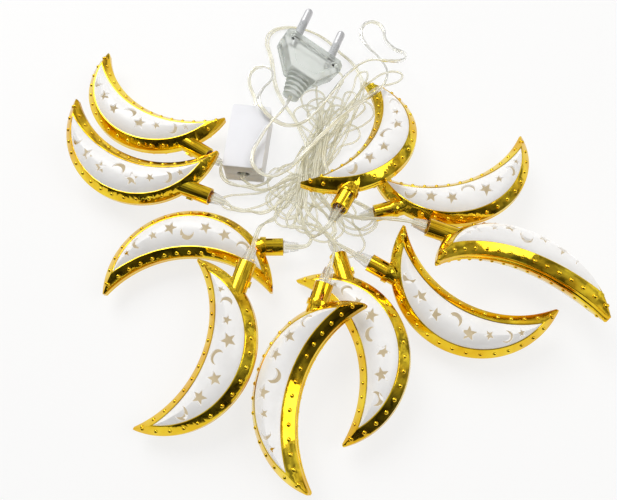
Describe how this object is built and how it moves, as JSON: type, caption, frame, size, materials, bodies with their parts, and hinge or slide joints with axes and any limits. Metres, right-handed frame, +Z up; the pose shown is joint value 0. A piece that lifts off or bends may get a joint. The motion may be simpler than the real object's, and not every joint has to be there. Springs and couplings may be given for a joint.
{
  "type": "moon and star string lights",
  "caption": "Festive string of gold crescent-moon lamp covers with star cut-outs, pulled onto clear lamp holders, with a hank of clear wire, a driver box and a two-pin plug.",
  "frame": {"origin": "on the ground under the middle of the box round all covers", "axes": "+Z up, +Y away from the viewer of the picture, +X to the right"},
  "size_m": [0.2252, 0.2182, 0.0313],
  "materials": {
    "gold": "vacuum-metallised gold, mirror-like",
    "diffuser": "satin white",
    "clear_holder": "clear moulded",
    "diode": "clear epoxy",
    "plug": "frosted clear",
    "pin_metal": "nickel plated",
    "sleeve": "satin",
    "box": "matte white",
    "board": "solder mask",
    "board_part": "moulded",
    "wire": "clear insulation over fine strands"
  },
  "bodies": {
    "string": {"led_holders": "clear_holder", "led_diodes": "diode", "plug_body": "plug", "plug_pins": "pin_metal", "pin_sleeves": "sleeve", "plug_relief": "plug", "box_base": "box", "box_lid": "box", "circuit_board": "board", "board_parts": "board_part", "mains_lead": "wire", "box_lead": "wire", "string_hank": "wire", "drop_wires_left": "wire", "drop_wires_front": "wire", "drop_wires_right": "wire"},
    "moon_01": {"front_frame_01": "gold", "back_frame_01": "gold", "front_diffuser_01": "diffuser", "back_diffuser_01": "diffuser"},
    "moon_02": {"front_frame_02": "gold", "back_frame_02": "gold", "front_diffuser_02": "diffuser", "back_diffuser_02": "diffuser"},
    "moon_03": {"front_frame_03": "gold", "back_frame_03": "gold", "front_diffuser_03": "diffuser", "back_diffuser_03": "diffuser"},
    "moon_04": {"front_frame_04": "gold", "back_frame_04": "gold", "front_diffuser_04": "diffuser", "back_diffuser_04": "diffuser"},
    "moon_05": {"front_frame_05": "gold", "back_frame_05": "gold", "front_diffuser_05": "diffuser", "back_diffuser_05": "diffuser"},
    "moon_06": {"front_frame_06": "gold", "back_frame_06": "gold", "front_diffuser_06": "diffuser", "back_diffuser_06": "diffuser"},
    "moon_07": {"front_frame_07": "gold", "back_frame_07": "gold", "front_diffuser_07": "diffuser", "back_diffuser_07": "diffuser"},
    "moon_08": {"front_frame_08": "gold", "back_frame_08": "gold", "front_diffuser_08": "diffuser", "back_diffuser_08": "diffuser"},
    "moon_09": {"front_frame_09": "gold", "back_frame_09": "gold", "front_diffuser_09": "diffuser", "back_diffuser_09": "diffuser"},
    "moon_10": {"front_frame_10": "gold", "back_frame_10": "gold", "front_diffuser_10": "diffuser", "back_diffuser_10": "diffuser"}
  },
  "joints": [
    {"name": "cover_01_pull", "type": "slide", "parent": "string", "child": "moon_01", "axis": [-0.8479, 0.5298, 0.0175], "range_m": [0, 0.015]},
    {"name": "cover_02_pull", "type": "slide", "parent": "string", "child": "moon_02", "axis": [-0.9323, 0.3579, 0.0523], "range_m": [0, 0.015]},
    {"name": "cover_03_pull", "type": "slide", "parent": "string", "child": "moon_03", "axis": [-0.9997, -0.0175, 0.0175], "range_m": [0, 0.015]},
    {"name": "cover_04_pull", "type": "slide", "parent": "string", "child": "moon_04", "axis": [-0.3067, -0.944, -0.1219], "range_m": [0, 0.015]},
    {"name": "cover_05_pull", "type": "slide", "parent": "string", "child": "moon_05", "axis": [-0.306, -0.9418, -0.1392], "range_m": [0, 0.015]},
    {"name": "cover_06_pull", "type": "slide", "parent": "string", "child": "moon_06", "axis": [0.2582, -0.9636, 0.0698], "range_m": [0, 0.015]},
    {"name": "cover_07_pull", "type": "slide", "parent": "string", "child": "moon_07", "axis": [0.8639, -0.4988, -0.0698], "range_m": [0, 0.015]},
    {"name": "cover_08_pull", "type": "slide", "parent": "string", "child": "moon_08", "axis": [0.9492, -0.2902, -0.1219], "range_m": [0, 0.015]},
    {"name": "cover_09_pull", "type": "slide", "parent": "string", "child": "moon_09", "axis": [0.9707, 0.2241, 0.0872], "range_m": [0, 0.015]},
    {"name": "cover_10_pull", "type": "slide", "parent": "string", "child": "moon_10", "axis": [0.4471, 0.8775, -0.1736], "range_m": [0, 0.015]}
  ]
}
